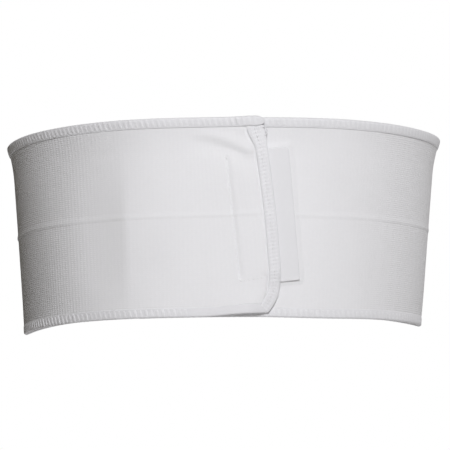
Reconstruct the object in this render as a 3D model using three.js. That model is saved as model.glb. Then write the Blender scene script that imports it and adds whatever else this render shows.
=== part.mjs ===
// A wide elastic rib belt, closed in front by a hook tab, in the loop that it is worn in.
//
// Each piece is laid out flat, in cloth coordinates, and is wrapped round that loop:
//   along    mm along the strap, from its inner end to its flap end
//   across   mm above the strap's middle line
//   through  mm outwards from the strap's inner face
//
// Millimetres, +Z up. The front faces -Y, and the flap points towards +X. The origin lies on the axis
// of the loop, at the height of the strap's middle line in front.

import * as THREE from "three";

const { clamp, lerp, smoothstep, euclideanModulo } = THREE.MathUtils;

// The loop, at the level of the strap's middle line
const LOOP_HALF_WIDTH = 165.4;
const LOOP_FRONT_DEPTH = 149; // in front of its widest place, and behind it
const LOOP_BACK_DEPTH = 83;
const LOOP_SQUARENESS = 2.29; // 2 is an ellipse, more is nearer a rectangle
const LOOP_TAPER = 0.00047; // growth of the section for each mm upwards

// The strap
const WALL = 1.8;
const STRAP_HALF_HEIGHT = 75; // of the cloth itself, without the edges that are sewn over it
const RIB_LEVEL = 1.2; // how far the rib lies above the middle line
const RIB_HALF_FOOT = 2.2;
const RIB_HALF_CREST = 1.1;
const RIB_HEIGHT = 0.7;
const RIB_FADE = 8; // run over which the rib sinks away before the sewn ends
const FLARE = 3.4; // how far the upper rim stands off
const FLARE_FROM = 47; // height where that starts
const FLARE_SHARPNESS = 2;

// How the strap lies: lower at the flanks, a little higher behind, and slightly askew
const FLANK_SAG = 7;
const FLANK_SHARPNESS = 3.4;
const FAR_DROP = 2.3; // how much further the outermost part of the -X flank hangs
const FAR_SHARPNESS = 14;
const BACK_RISE = 6.5;
const BACK_SHARPNESS = 1.3;
const ASKEW = 0.0188; // rise for each mm towards +X

// The closure: places are mm from the middle of the front, positive towards the flap end
const INNER_END = -67.8;
const FLAP_END = 39; // on the middle line
const FLAP_STEP = 4.5; // from the inner layer's inner face to the flap's
const STEP_LENGTH = 40; // run over which the strap climbs on to its inner end
const STEP_PEAK = 0.8; // share of that run where it climbs most steeply
const STEP_CLEAR = 2; // run left between that climb and the inner end
const FLAP_LIFT = 2.2; // how far the end of the flap is turned up
const FLAP_LIFT_SLOPE = 0.026; // and how much more for each mm downwards
const FLAP_LIFT_RUN = 110;
const SLANT_RUN = { from: 75, to: 20 }; // the slant of the end fades out over this stretch

// The outline of the flap's end, from top to bottom
const FLAP_OUTLINE = [
  { across: 80, reach: 27.6 },
  { across: 47, reach: 32.9 },
  { across: -26, reach: 42.5 },
  { across: -52, reach: 44.3 },
  { across: -64, reach: 42.2 },
  { across: -80, reach: 33.2 },
];

// The sewn edge: a band of thread wrapped over the cloth's rim
const SEAM_GAP = 0.3;
const EDGE_DEPTH = 8.4; // from its crest to its foot
const EDGE_OUTER = 1.2; // thickness outside, inside and over the rim
const EDGE_INNER = 0.5;
const EDGE_CREST = 1.1;
const EDGE_FOOT_SHARE = 0.6; // the outside is thinner at the foot and at the shoulder
const END_EDGE_DEPTH = 9;
const EDGE_OVERRUN = 1; // of the top edge past the flap's end

// The hook tab under the flap's end
const TAB_LEVEL = 1;
const TAB_HALF_HEIGHT = 50.5;
const TAB_THICKNESS = 1.35;
const TAB_FROM = 5.1; // its sewn side and its free side, on the middle line
const TAB_TO = 54;
const TAB_SLANT = 0.115; // how far both lean back for each mm upwards
const TAB_CORNER = { top: 4.5, bottom: 1.5 };

// Fineness of the mesh
const LOOP_STEPS = 72;
const CLIMB_STEPS = 8;
const CORNER_STEPS = 4;
const TAB_STEPS = 5;
const TAB_ROWS = 5;
const CLOTH_LEVELS = [-64, -52, -26, 26, 47, 56, 63, 69]; // besides the rims and the rib
const END_LEVELS = [63, 56, 47, 26, 0, -26, -52, -64]; // of the edges sewn over the ends

const LOOP_WIDEST = (LOOP_FRONT_DEPTH - LOOP_BACK_DEPTH) / 2; // Y of the widest place

// The horizontal section of the loop: two halves of superellipses, from the middle of the front
class LoopSection extends THREE.Curve {
  getPoint(t, target = new THREE.Vector3()) {
    const turn = 2 * Math.PI * t;
    const rounded = (v) => Math.sign(v) * Math.abs(v) ** (2 / LOOP_SQUARENESS);
    return target.set(
      LOOP_HALF_WIDTH * rounded(Math.sin(turn)),
      LOOP_WIDEST - this.depth(-Math.cos(turn)) * rounded(Math.cos(turn)),
      0,
    );
  }

  depth(behind) {
    return behind > 0 ? LOOP_BACK_DEPTH : LOOP_FRONT_DEPTH;
  }

  outwardAt(point) {
    const behind = point.y - LOOP_WIDEST;
    const slope = (v, half) =>
      (Math.sign(v) * Math.abs(v / half) ** (LOOP_SQUARENESS - 1)) / half;
    return new THREE.Vector3(
      slope(point.x, LOOP_HALF_WIDTH),
      slope(behind, this.depth(behind)),
      0,
    ).normalize();
  }
}

const loop = new LoopSection();
loop.arcLengthDivisions = 1440;
const girth = loop.getLength();
const strapLength = girth + FLAP_END - INNER_END;
const climbStart = girth - STEP_CLEAR - STEP_LENGTH;
const step = girth / LOOP_STEPS;

// How far the outline of the flap's end departs from a straight cut, at this height
function endSlant(across) {
  const row = FLAP_OUTLINE.findIndex((r) => r.across <= across);
  const [above, below] = [FLAP_OUTLINE[row - 1], FLAP_OUTLINE[row]];
  const share = (above.across - across) / (above.across - below.across);
  return lerp(above.reach, below.reach, share) - FLAP_END;
}

// A point outside the loop: mm round from the middle of the front, mm up and mm out
function onLoop(fromFront, across, out) {
  const point = loop.getPointAt(euclideanModulo(fromFront / girth, 1));
  const outward = loop.outwardAt(point);
  const toRim = Math.max(0, across - FLARE_FROM) / (STRAP_HALF_HEIGHT - FLARE_FROM);
  const flare = FLARE * toRim ** FLARE_SHARPNESS;
  const sag = FLANK_SAG * Math.abs(point.x / LOOP_HALF_WIDTH) ** FLANK_SHARPNESS;
  const drop = FAR_DROP * Math.max(0, -point.x / LOOP_HALF_WIDTH) ** FAR_SHARPNESS;
  const toBack = Math.max(0, (point.y - LOOP_WIDEST) / LOOP_BACK_DEPTH);
  const rise = BACK_RISE * toBack ** BACK_SHARPNESS;
  const height = across - sag - drop + rise + ASKEW * point.x;
  return point
    .multiplyScalar(1 + LOOP_TAPER * across)
    .addScaledVector(outward, out + flare)
    .setZ(height);
}

// How far the flap is turned up, this far from the strap's inner end
function flapLift(along, across) {
  const share = smoothstep(along, strapLength - FLAP_LIFT_RUN, strapLength);
  return share * (FLAP_LIFT - FLAP_LIFT_SLOPE * across);
}

// Share of the climb on to the inner end, this far along: a long soft rise that ends in a short curve
function climbShare(along) {
  const done = clamp((along - climbStart) / STEP_LENGTH, 0, 1);
  if (done < STEP_PEAK) return done ** 2 / STEP_PEAK;
  return 1 - (1 - done) ** 2 / (1 - STEP_PEAK);
}

// A point of the strap, which climbs over its own inner end and ends in a slanting outline
function onStrap(along, across, through) {
  const slant = smoothstep(along, strapLength - SLANT_RUN.from, strapLength - SLANT_RUN.to);
  const fromFront = INNER_END + along + slant * endSlant(across);
  const point = onLoop(fromFront, across, through + climbShare(along) * FLAP_STEP);
  point.z += flapLift(along, across);
  return point;
}

// A closed solid through a row of sections, each with as many points on its one face as on its other
function loft(sections) {
  const rows = sections[0].outer.length;
  const ring = 2 * rows;
  const points = sections.flatMap(({ outer, inner }) => [...outer, ...[...inner].reverse()]);
  const faces = [];
  const quad = (a, b, c, d) => faces.push(a, b, c, a, c, d);
  const last = (sections.length - 1) * ring;
  for (let i = 0; i < last; i += ring) {
    for (let k = 0; k < ring; k += 1) {
      const next = (k + 1) % ring;
      quad(i + k, i + ring + k, i + ring + next, i + next);
    }
  }
  for (let k = 0; k < rows - 1; k += 1) {
    const [near, far] = [ring - 1 - k, ring - 2 - k];
    quad(k, k + 1, far, near);
    quad(last + k, last + near, last + far, last + k + 1);
  }
  const geometry = new THREE.BufferGeometry().setFromPoints(points);
  geometry.setIndex(faces);
  geometry.computeVertexNormals();
  return geometry;
}

// Places along the strap: even steps round the loop, so that its layers match, and closer in the climb
function stations(from, to) {
  const places = [];
  for (let i = 0; i * step < strapLength; i += 1) places.push(i * step);
  for (let i = 0; i < CLIMB_STEPS; i += 1) {
    places.push(climbStart + (STEP_LENGTH * (i + 0.5)) / CLIMB_STEPS);
  }
  const margin = 2;
  const between = places.filter((p) => p > from + margin && p < to - margin);
  return [from, ...between.sort((a, b) => a - b), to];
}

// The cloth: one strip with a rib along its middle line
function strapWall() {
  const end = strapLength - EDGE_CREST - SEAM_GAP;
  const rows = [
    { across: -STRAP_HALF_HEIGHT, raised: 0 },
    ...CLOTH_LEVELS.filter((z) => z < 0).map((across) => ({ across, raised: 0 })),
    { across: RIB_LEVEL - RIB_HALF_FOOT, raised: 0 },
    { across: RIB_LEVEL - RIB_HALF_CREST, raised: RIB_HEIGHT },
    { across: RIB_LEVEL + RIB_HALF_CREST, raised: RIB_HEIGHT },
    { across: RIB_LEVEL + RIB_HALF_FOOT, raised: 0 },
    ...CLOTH_LEVELS.filter((z) => z > 0).map((across) => ({ across, raised: 0 })),
    { across: STRAP_HALF_HEIGHT, raised: 0 },
  ];
  const sections = stations(0, end).map((along) => {
    const toSeam = Math.min(along, end - along) - END_EDGE_DEPTH;
    const rib = smoothstep(toSeam, 0, RIB_FADE);
    return {
      outer: rows.map(({ across, raised }) => onStrap(along, across, WALL + rib * raised)),
      inner: rows.map(({ across }) => onStrap(along, across, 0)),
    };
  });
  return loft(sections);
}

// A channel of thread over one rim, open towards the middle line; side is 1 above and -1 below
function rimEdge(side, from, to) {
  const roof = STRAP_HALF_HEIGHT + SEAM_GAP;
  const crest = roof + EDGE_CREST;
  const foot = crest - EDGE_DEPTH;
  const shoulder = crest - EDGE_CREST;
  const outside = WALL + SEAM_GAP;
  const inside = -SEAM_GAP;
  const thin = EDGE_FOOT_SHARE * EDGE_OUTER;
  const profile = [
    { skin: [foot, outside + thin], lining: [foot, outside] },
    { skin: [(foot + crest) / 2, outside + EDGE_OUTER], lining: [(foot + roof) / 2, outside] },
    { skin: [shoulder, outside + thin], lining: [roof, outside] },
    { skin: [crest, WALL / 2], lining: [roof, WALL / 2] },
    { skin: [shoulder, inside - EDGE_INNER], lining: [roof, inside] },
    { skin: [foot, inside - EDGE_INNER], lining: [foot, inside] },
  ];
  if (side < 0) profile.reverse();
  const sections = stations(from, to).map((along) => ({
    outer: profile.map(({ skin: [height, through] }) => onStrap(along, side * height, through)),
    inner: profile.map(({ lining: [height, through] }) => onStrap(along, side * height, through)),
  }));
  return loft(sections);
}

// The edge sewn over the flap's end, which follows its slant and its cut corner
function flapEndEdge() {
  const outside = WALL + SEAM_GAP;
  const thin = EDGE_FOOT_SHARE * EDGE_OUTER;
  const profile = [
    { skin: [-END_EDGE_DEPTH, outside + thin], lining: [-END_EDGE_DEPTH, outside] },
    { skin: [-END_EDGE_DEPTH / 2, outside + EDGE_OUTER], lining: [-END_EDGE_DEPTH / 2, outside] },
    { skin: [-EDGE_CREST, outside + thin], lining: [-EDGE_CREST, outside] },
    { skin: [0, WALL], lining: [-EDGE_CREST, WALL] },
    { skin: [0, 0], lining: [-EDGE_CREST, 0] },
  ];
  const crest = STRAP_HALF_HEIGHT + SEAM_GAP + EDGE_CREST;
  const levels = [crest - EDGE_DEPTH - SEAM_GAP, ...END_LEVELS, -crest];
  const sections = levels.map((across) => ({
    outer: profile.map(({ skin: [d, through] }) => onStrap(strapLength + d, across, through)),
    inner: profile.map(({ lining: [d, through] }) => onStrap(strapLength + d, across, through)),
  }));
  return loft(sections);
}

// The edge sewn over the inner end, which lies under the flap
function innerEndEdge() {
  const outside = WALL + SEAM_GAP;
  const inside = -SEAM_GAP;
  const tip = -SEAM_GAP - EDGE_CREST;
  const profile = [
    { skin: [END_EDGE_DEPTH, inside - EDGE_INNER], lining: [END_EDGE_DEPTH, inside] },
    { skin: [-SEAM_GAP, inside - EDGE_INNER], lining: [-SEAM_GAP, inside] },
    { skin: [tip, WALL / 2], lining: [-SEAM_GAP, WALL / 2] },
    { skin: [-SEAM_GAP, outside + EDGE_INNER], lining: [-SEAM_GAP, outside] },
    { skin: [END_EDGE_DEPTH, outside + EDGE_INNER], lining: [END_EDGE_DEPTH, outside] },
  ];
  const end = STRAP_HALF_HEIGHT + EDGE_CREST - EDGE_DEPTH;
  const levels = [end, ...END_LEVELS.filter((z) => Math.abs(z) < end), -end];
  const sections = levels.map((across) => ({
    outer: profile.map(({ skin: [along, through] }) => onStrap(along, across, through)),
    inner: profile.map(({ lining: [along, through] }) => onStrap(along, across, through)),
  }));
  return loft(sections);
}

// How far a rounded corner cuts into the side that leads to it, this far from the corner's end
function cornerCut(radius, toEnd) {
  const short = Math.max(0, radius - toEnd);
  return radius - Math.sqrt(radius ** 2 - short ** 2);
}

// The stiff tab of hook tape, held under the flap and reaching past its end
function hookTab() {
  const outer = FLAP_STEP - SEAM_GAP;
  const inner = outer - TAB_THICKNESS;
  const straight = TAB_TO - TAB_FROM - TAB_CORNER.top;
  const places = [];
  for (let i = 0; i <= TAB_STEPS; i += 1) places.push(TAB_FROM + (straight * i) / TAB_STEPS);
  for (let i = 1; i <= CORNER_STEPS; i += 1) {
    const turn = (Math.PI / 2) * (i / CORNER_STEPS);
    places.push(TAB_TO - TAB_CORNER.top * (1 - Math.sin(turn)));
  }
  const face = (fromFront, through) => {
    const top = TAB_HALF_HEIGHT - cornerCut(TAB_CORNER.top, TAB_TO - fromFront);
    const bottom = cornerCut(TAB_CORNER.bottom, TAB_TO - fromFront) - TAB_HALF_HEIGHT;
    const points = [];
    for (let k = 0; k <= TAB_ROWS; k += 1) {
      const up = lerp(bottom, top, k / TAB_ROWS);
      points.push(onLoop(fromFront - TAB_SLANT * up, TAB_LEVEL + up, through));
    }
    return points;
  };
  const sections = places.map((at) => ({ outer: face(at, outer), inner: face(at, inner) }));
  return loft(sections);
}

const rimStart = -EDGE_CREST - SEAM_GAP;
const topEnd = strapLength + EDGE_OVERRUN;
const bottomEnd = strapLength - END_EDGE_DEPTH - SEAM_GAP;

const elastic = new THREE.MeshStandardMaterial({ color: 0xe3e3e5, roughness: 0.9, metalness: 0 });
const thread = new THREE.MeshStandardMaterial({ color: 0xe0e0e4, roughness: 0.8, metalness: 0 });
const hookTape = new THREE.MeshStandardMaterial({ color: 0xdddde0, roughness: 0.55, metalness: 0 });

const pieces = [
  { name: "belt_wall", geometry: strapWall(), material: elastic },
  { name: "top_edge", geometry: rimEdge(1, rimStart, topEnd), material: thread },
  { name: "bottom_edge", geometry: rimEdge(-1, rimStart, bottomEnd), material: thread },
  { name: "flap_end_edge", geometry: flapEndEdge(), material: thread },
  { name: "inner_end_edge", geometry: innerEndEdge(), material: thread },
  { name: "hook_tab", geometry: hookTab(), material: hookTape },
];

const ribBelt = new THREE.Group();
for (const { name, geometry, material } of pieces) {
  const mesh = new THREE.Mesh(geometry, material);
  mesh.name = name;
  ribBelt.add(mesh);
}

export default ribBelt;
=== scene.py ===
"""Dresses a wide elastic rib belt: a ribbed strap, its overlocked edges and its hook tab.

The strap is laid out flat, in cloth coordinates, and is wrapped round the loop that it is worn in:
    along    metres along the strap, from its inner end to its flap end
    across   metres above the strap's middle line
    through  metres outwards from the strap's inner face
Sizes are in metres, unless a row of a table says mm.
"""

import functools
import logging
import math
from abc import ABC, abstractmethod
from collections.abc import Sequence
from dataclasses import dataclass, field, fields
from enum import Enum
from typing import ClassVar, NamedTuple

import bmesh
import bpy
import numpy as np
from mathutils import Matrix, Vector


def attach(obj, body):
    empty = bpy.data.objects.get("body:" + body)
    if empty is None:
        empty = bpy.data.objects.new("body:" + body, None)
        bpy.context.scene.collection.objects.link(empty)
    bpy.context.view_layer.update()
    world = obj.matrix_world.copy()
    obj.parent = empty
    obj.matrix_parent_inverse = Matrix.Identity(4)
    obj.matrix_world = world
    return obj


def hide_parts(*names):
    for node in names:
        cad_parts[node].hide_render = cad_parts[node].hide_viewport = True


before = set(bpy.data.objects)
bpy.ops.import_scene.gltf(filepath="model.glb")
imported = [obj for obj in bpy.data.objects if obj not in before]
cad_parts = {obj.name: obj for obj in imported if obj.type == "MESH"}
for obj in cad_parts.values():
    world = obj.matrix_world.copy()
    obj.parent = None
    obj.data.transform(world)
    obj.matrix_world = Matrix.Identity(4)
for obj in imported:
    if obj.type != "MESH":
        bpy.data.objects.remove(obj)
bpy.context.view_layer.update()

MM = 0.001
BODY = "root"
# Points of a mesh that lie this close are one.
MERGE = 0.001 * MM
# Pitch of the strap's crosswise ribs, and of the stitches along its rims.
RIB_PITCH = 3.2 * MM
STITCH_PITCH = 4.35 * MM
# Mean height of the ribs' round crests, taken off so that the ribs don't thicken the wall.
CREST_MEAN = 0.6
# Share of the weave's height that its dashes take.
DASH_SHARE = 0.6
# Share of the drift of tone that is slow.
BROAD_SHARE = 0.6

Array = np.ndarray
Axes = tuple[Array, Array, Array]
Axis = tuple[float, float, float]
Colour = tuple[float, float, float, float]
Faces = list[tuple[int, ...]]
Span = tuple[float, float]
# Where the front turns into a flank, beside the middle: the cloth is slack past it.
SLACK_SIDE: Span = (88 * MM, 145 * MM)
# Directions on an edge's own axes, along it and out over it, and the way to the back in space.
ALONG: Axis = (1.0, 0.0, 0.0)
OVER: Axis = (0.0, 0.0, 1.0)
BACK: Axis = (0.0, 1.0, 0.0)
log = logging.getLogger("rib_belt")


# Choices, and rows of tables
class Edge(Enum):
    """The four sewn edges of the strap, by the CAD node that each stands for."""

    TOP = "top_edge"
    BOTTOM = "bottom_edge"
    FLAP_END = "flap_end_edge"
    INNER_END = "inner_end_edge"


class Slot(Enum):
    """The record's material slots."""

    ELASTIC = "elastic_cloth"
    THREAD = "edge_thread"
    TAPE = "hook_tape"


class FlapPoint(NamedTuple):
    """A point of the outline of the flap's end, in mm: height and reach past the middle of the front."""

    across: float
    reach: float


class RowBand(NamedTuple):
    """A band of rows of the cloth's mesh, in mm: where it ends and how far apart its rows lie."""

    upto: float
    step: float


class SkinPoint(NamedTuple):
    """A point of the padding's section under the thread, in mm."""

    through: float
    up: float


class YarnPoint(NamedTuple):
    """A point of a stitch, in mm: its place over the edge, and the yarn's half width and thickness."""

    run: float
    through: float
    up: float
    broad: float
    thick: float


Strand = tuple[Sequence[YarnPoint], Axis]


class TailPoint(NamedTuple):
    """A point of a loose end of thread on the flap, in mm from the middle of the front, up and out."""

    from_front: float
    across: float
    through: float


class SeamLeg(NamedTuple):
    """A straight leg of the tab's seam, in mm: how far past the sewn line its ends lie, and how high."""

    start: float
    start_up: float
    end: float
    end_up: float


class ClimbPoint(NamedTuple):
    """How sharply the strap climbs over its inner end at a height in mm: 1 is a short step, 0 a long rise."""

    across: float
    sharpness: float


class FoldPoint(NamedTuple):
    """A point of the foot of a fold in the flap, in mm from the middle of the front and up."""

    from_front: float
    across: float


class Fold(NamedTuple):
    """A soft fold in the flap, in mm: its height, the run up to its crest, and its foot, left to right."""

    height: float
    run: float
    foot: tuple[FoldPoint, ...]


class Lamp(NamedTuple):
    """A soft square light: its place and its side in metres, and its power in watts."""

    name: str
    place: Axis
    side: float
    power: float


# Sums on rows of numbers
def smoothstep(value: Array, start: float, end: float) -> Array:
    """Rises smoothly from 0 at start to 1 at end.

    Args:
        value: Places to work out.
        start: Where the rise starts.
        end: Where it ends.

    Returns:
        The share of the rise at each place.
    """
    share = np.clip((value - start) / (end - start), 0, 1)
    return share * share * (3 - 2 * share)


def bell(distance: Array, width: Array | float) -> Array:
    """Soft hump, 1 in the middle and 0 well past its width.

    Args:
        distance: Distances from the middle.
        width: Distance at which the hump has fallen to about a third.

    Returns:
        The hump's height at each distance.
    """
    return np.exp(-((distance / width) ** 2))


def smooth_table(value: Array, places: Array, heights: Array) -> Array:
    """Reads a smooth curve through the points of a table.

    Args:
        value: Where to read the curve.
        places: The table's places, rising.
        heights: The curve's height at each place.

    Returns:
        The height at each value.
    """
    slopes = np.gradient(heights, places)
    left = np.clip(np.searchsorted(places, value) - 1, 0, len(places) - 2)
    span = places[left + 1] - places[left]
    t = (value - places[left]) / span
    near = (1 + 2 * t) * (1 - t) ** 2 * heights[left] + t * (1 - t) ** 2 * span * slopes[left]
    far = t * t * (3 - 2 * t) * heights[left + 1] + t * t * (t - 1) * span * slopes[left + 1]
    return near + far


def between(places: Array, values: Array) -> Array:
    """Reads rows of values at places between them.

    Args:
        places: Numbers of rows, whole or not.
        values: The rows.

    Returns:
        A row for each place.
    """
    low = np.clip(places.astype(int), 0, len(values) - 2)
    share = (places - low).reshape(-1, *[1] * (values.ndim - 1))
    return values[low] + share * (values[low + 1] - values[low])


def unit(vectors: Array) -> Array:
    """Vectors scaled to length 1."""
    return vectors / np.linalg.norm(vectors, axis=-1, keepdims=True)


def run_lengths(line: Array) -> Array:
    """Length along a line of points up to each of them."""
    return np.concatenate([[0], np.cumsum(np.linalg.norm(np.diff(line, axis=0), axis=1))])


# Meshes
def grid_faces(rows: int, columns: int, first: int = 0) -> Faces:
    """Faces of a grid whose points are stored row by row.

    Args:
        rows: Points along the first direction.
        columns: Points along the second direction.
        first: Number of the grid's first point.

    Returns:
        Four-sided faces.
    """
    corners = first + np.arange((rows - 1) * columns).reshape(rows - 1, columns)[:, :-1].ravel()
    return np.stack([corners, corners + 1, corners + columns + 1, corners + columns], -1).tolist()


def tube_faces(rings: int, sides: int, first: int = 0) -> Faces:
    """Faces of a closed tube through rings of points.

    Args:
        rings: Number of rings.
        sides: Points in each ring.
        first: Number of the first ring's first point.

    Returns:
        Four-sided faces, and one face over each end.
    """
    faces: Faces = []
    for ring in range(rings - 1):
        start = first + ring * sides
        for side in range(sides):
            after = (side + 1) % sides
            faces.append((start + side, start + after, start + sides + after, start + sides + side))
    last = first + (rings - 1) * sides
    faces.append(tuple(range(first, first + sides)))
    faces.append(tuple(range(last, last + sides)))
    return faces


def make_object(
    name: str,
    points: Array,
    faces: Faces,
    layers: dict[str, Array] | None = None,
) -> bpy.types.Object:
    """Makes a smooth closed mesh, with its faces pointing outwards, and links it to the scene.

    Args:
        name: Name of the object and its mesh.
        points: One row for each point, in metres.
        faces: Point numbers of each face.
        layers: Vectors to keep with the points, by name.

    Returns:
        The new object, at the origin.
    """
    mesh = bpy.data.meshes.new(name)
    mesh.from_pydata(points.tolist(), [], faces)
    for layer, values in (layers or {}).items():
        attribute = mesh.attributes.new(layer, "FLOAT_VECTOR", "POINT")
        attribute.data.foreach_set("vector", np.asarray(values, dtype=np.float32).ravel())
    work = bmesh.new()
    work.from_mesh(mesh)
    bmesh.ops.recalc_face_normals(work, faces=work.faces)
    for face in work.faces:
        face.smooth = True
    work.to_mesh(mesh)
    work.free()
    made = bpy.data.objects.new(name, mesh)
    bpy.context.scene.collection.objects.link(made)
    return made


def remove_objects(*helpers: bpy.types.Object) -> None:
    """Takes helper objects and their meshes out of the file.

    Args:
        *helpers: The objects.
    """
    for helper in helpers:
        mesh = helper.data
        bpy.data.objects.remove(helper)
        bpy.data.meshes.remove(mesh)


# Node trees
class NodeSketch:
    """Adds nodes to one tree and joins them."""

    def __init__(self, tree: bpy.types.NodeTree) -> None:
        """Keeps the tree to draw in."""
        self.tree = tree

    def put(self, socket: bpy.types.NodeSocket, value: object) -> None:
        """Joins a source socket to an input, or sets the input's own value.

        Args:
            socket: The input.
            value: The source socket, or the value.
        """
        if isinstance(value, bpy.types.NodeSocket):
            self.tree.links.new(value, socket)
        else:
            socket.default_value = value

    def add(
        self,
        kind: str,
        inputs: dict[int | str, object] | None = None,
        **settings: object,
    ) -> bpy.types.Node:
        """Adds a node.

        Args:
            kind: The node's type.
            inputs: Values or source sockets, by the input's name or number.
            **settings: The node's own properties.

        Returns:
            The new node.
        """
        node = self.tree.nodes.new(kind)
        for name, value in settings.items():
            setattr(node, name, value)
        for name, value in (inputs or {}).items():
            self.put(node.inputs[name], value)
        return node

    def math(self, operation: str, first: object, second: object = 0.0) -> bpy.types.NodeSocket:
        """Adds a sum of one or two values.

        Args:
            operation: The Math node's operation.
            first: First value or source socket.
            second: Second value or source socket.

        Returns:
            The result's socket.
        """
        return self.add("ShaderNodeMath", {0: first, 1: second}, operation=operation).outputs[0]

    def tint(self, share: object, first: object, second: object) -> bpy.types.NodeSocket:
        """Adds a mix of two colours.

        Args:
            share: Share of the second colour.
            first: First colour or source socket.
            second: Second colour or source socket.

        Returns:
            The result's socket.
        """
        node = self.add("ShaderNodeMix", data_type="RGBA")
        colours = [socket for socket in node.inputs if socket.type == "RGBA"]
        for socket, value in zip((node.inputs[0], *colours), (share, first, second)):
            self.put(socket, value)
        return next(socket for socket in node.outputs if socket.type == "RGBA")

    def layer(self, name: str, kind: str = "FLOAT_VECTOR") -> bpy.types.NodeSocket:
        """Reads a layer of the mesh, in a geometry tree.

        Args:
            name: The layer's name.
            kind: Its type of value.

        Returns:
            The layer's socket.
        """
        node = self.add("GeometryNodeInputNamedAttribute", {"Name": name}, data_type=kind)
        return node.outputs["Attribute"]

    def dressed(self, shape: bpy.types.NodeSocket, finish: bpy.types.NodeSocket) -> bpy.types.NodeSocket:
        """Ends a geometry tree: makes its instances real and sets their material.

        Args:
            shape: The geometry.
            finish: The material.

        Returns:
            The result's socket.
        """
        solid = self.add("GeometryNodeRealizeInstances", {"Geometry": shape})
        inputs = {"Geometry": solid.outputs[0], "Material": finish}
        return self.add("GeometryNodeSetMaterial", inputs).outputs[0]


def new_tree(
    name: str,
    kind: str,
    inputs: dict[str, str],
    outputs: dict[str, str],
) -> tuple[NodeSketch, bpy.types.Node, bpy.types.Node]:
    """Starts a node group with named sockets.

    Args:
        name: The group's name.
        kind: ShaderNodeTree or GeometryNodeTree.
        inputs: Socket types by input name.
        outputs: Socket types by output name.

    Returns:
        The sketch to draw in, the group's input node and its output node.
    """
    tree = bpy.data.node_groups.new(name, kind)
    for socket, socket_type in inputs.items():
        tree.interface.new_socket(name=socket, in_out="INPUT", socket_type=socket_type)
    for socket, socket_type in outputs.items():
        tree.interface.new_socket(name=socket, in_out="OUTPUT", socket_type=socket_type)
    sketch = NodeSketch(tree)
    return sketch, sketch.add("NodeGroupInput"), sketch.add("NodeGroupOutput")


def grow(made: bpy.types.Object, tree: bpy.types.NodeTree, inputs: dict[str, object]) -> None:
    """Runs a geometry tree on an object and keeps the result as its plain mesh.

    Args:
        made: The object to work on.
        tree: The geometry tree.
        inputs: Values of the tree's inputs, by name.
    """
    modifier = made.modifiers.new(tree.name, "NODES")
    modifier.node_group = tree
    for item in tree.interface.items_tree:
        if item.in_out == "INPUT" and item.name in inputs:
            modifier[item.identifier] = inputs[item.name]
    graph = bpy.context.evaluated_depsgraph_get()
    plain = bpy.data.meshes.new_from_object(
        made.evaluated_get(graph), preserve_all_data_layers=True, depsgraph=graph
    )
    made.modifiers.clear()
    rough = made.data
    made.data = plain
    bpy.data.meshes.remove(rough)
    plain.name = made.name


@functools.cache
def relief_tree() -> bpy.types.NodeTree:
    """Geometry tree that raises the strap's crosswise ribs and the rib along its middle line.

    Returns:
        The tree, made once.
    """
    sketch, given, out = new_tree(
        "Rib relief",
        "GeometryNodeTree",
        {
            "Cloth": "NodeSocketGeometry",
            "Rib Pitch": "NodeSocketFloat",
            "Rib Depth": "NodeSocketFloat",
            "Middle Rib Level": "NodeSocketFloat",
            "Middle Rib Upper Foot": "NodeSocketFloat",
            "Middle Rib Lower Foot": "NodeSocketFloat",
            "Middle Rib Height": "NodeSocketFloat",
            "Middle Rib Tight Share": "NodeSocketFloat",
            "Finish": "NodeSocketMaterial",
        },
        {"Cloth": "NodeSocketGeometry"},
    )
    along, across, side = sketch.add("ShaderNodeSeparateXYZ", {0: sketch.layer("cloth")}).outputs
    turn = sketch.math("MULTIPLY", sketch.math("DIVIDE", along, given.outputs["Rib Pitch"]), math.pi)
    crest = sketch.math("ABSOLUTE", sketch.math("SINE", turn))
    loose = sketch.add("ShaderNodeSeparateXYZ", {0: sketch.layer("pull")}).outputs[0]
    depth = sketch.math("MULTIPLY", given.outputs["Rib Depth"], loose)
    ribs = sketch.math("MULTIPLY", sketch.math("SUBTRACT", crest, CREST_MEAN), depth)
    over_middle = sketch.math("SUBTRACT", across, given.outputs["Middle Rib Level"])
    under_middle = sketch.math("MULTIPLY", over_middle, -1.0)
    slopes = [
        sketch.add(
            "ShaderNodeMapRange",
            {"Value": off_middle, "From Min": given.outputs[f"Middle Rib {foot} Foot"], "From Max": 0.0},
            interpolation_type="SMOOTHSTEP",
        ).outputs["Result"]
        for off_middle, foot in ((over_middle, "Upper"), (under_middle, "Lower"))
    ]
    tight = given.outputs["Middle Rib Tight Share"]
    slack = sketch.math("MULTIPLY", sketch.math("SUBTRACT", 1.0, tight), loose)
    swell = sketch.math("MULTIPLY", sketch.math("MULTIPLY", *slopes), sketch.math("ADD", tight, slack))
    middle = sketch.math("MULTIPLY", swell, given.outputs["Middle Rib Height"])
    raised = sketch.math("MULTIPLY", sketch.math("ADD", ribs, middle), side)
    normal = sketch.add("GeometryNodeInputNormal").outputs[0]
    offset = sketch.add("ShaderNodeVectorMath", {0: normal, "Scale": raised}, operation="SCALE").outputs[0]
    moved = sketch.add("GeometryNodeSetPosition", {"Geometry": given.outputs["Cloth"], "Offset": offset})
    sketch.put(out.inputs["Cloth"], sketch.dressed(moved.outputs[0], given.outputs["Finish"]))
    return sketch.tree


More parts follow.
